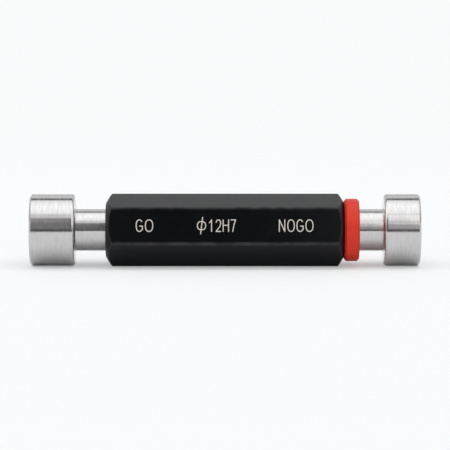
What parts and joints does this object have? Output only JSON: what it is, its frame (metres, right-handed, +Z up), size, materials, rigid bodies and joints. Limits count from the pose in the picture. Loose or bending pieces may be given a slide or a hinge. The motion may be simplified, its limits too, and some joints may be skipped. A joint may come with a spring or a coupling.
{
  "type": "plug gauge",
  "caption": "Double-ended limit plug gauge: hexagonal black handle with a long GO plug in one end, a short NO GO plug in the other and a red ring on the NO GO side.",
  "frame": {"origin": "on the gauge's axis, half way along the handle, which is also the centre of the box round the gauge", "axes": "+X along the axis towards the NO GO end, +Z up as the gauge lies on its two heads, and the marked flat faces -Y and leans back 14 degrees"},
  "size_m": [0.0654, 0.012, 0.012],
  "materials": {
    "handle_black": "satin",
    "go_steel": "satin",
    "nogo_steel": "satin",
    "ring_red": "satin"
  },
  "bodies": {
    "root": {"handle": "handle_black", "go_member": "go_steel", "nogo_member": "nogo_steel", "nogo_ring": "ring_red"}
  },
  "joints": []
}
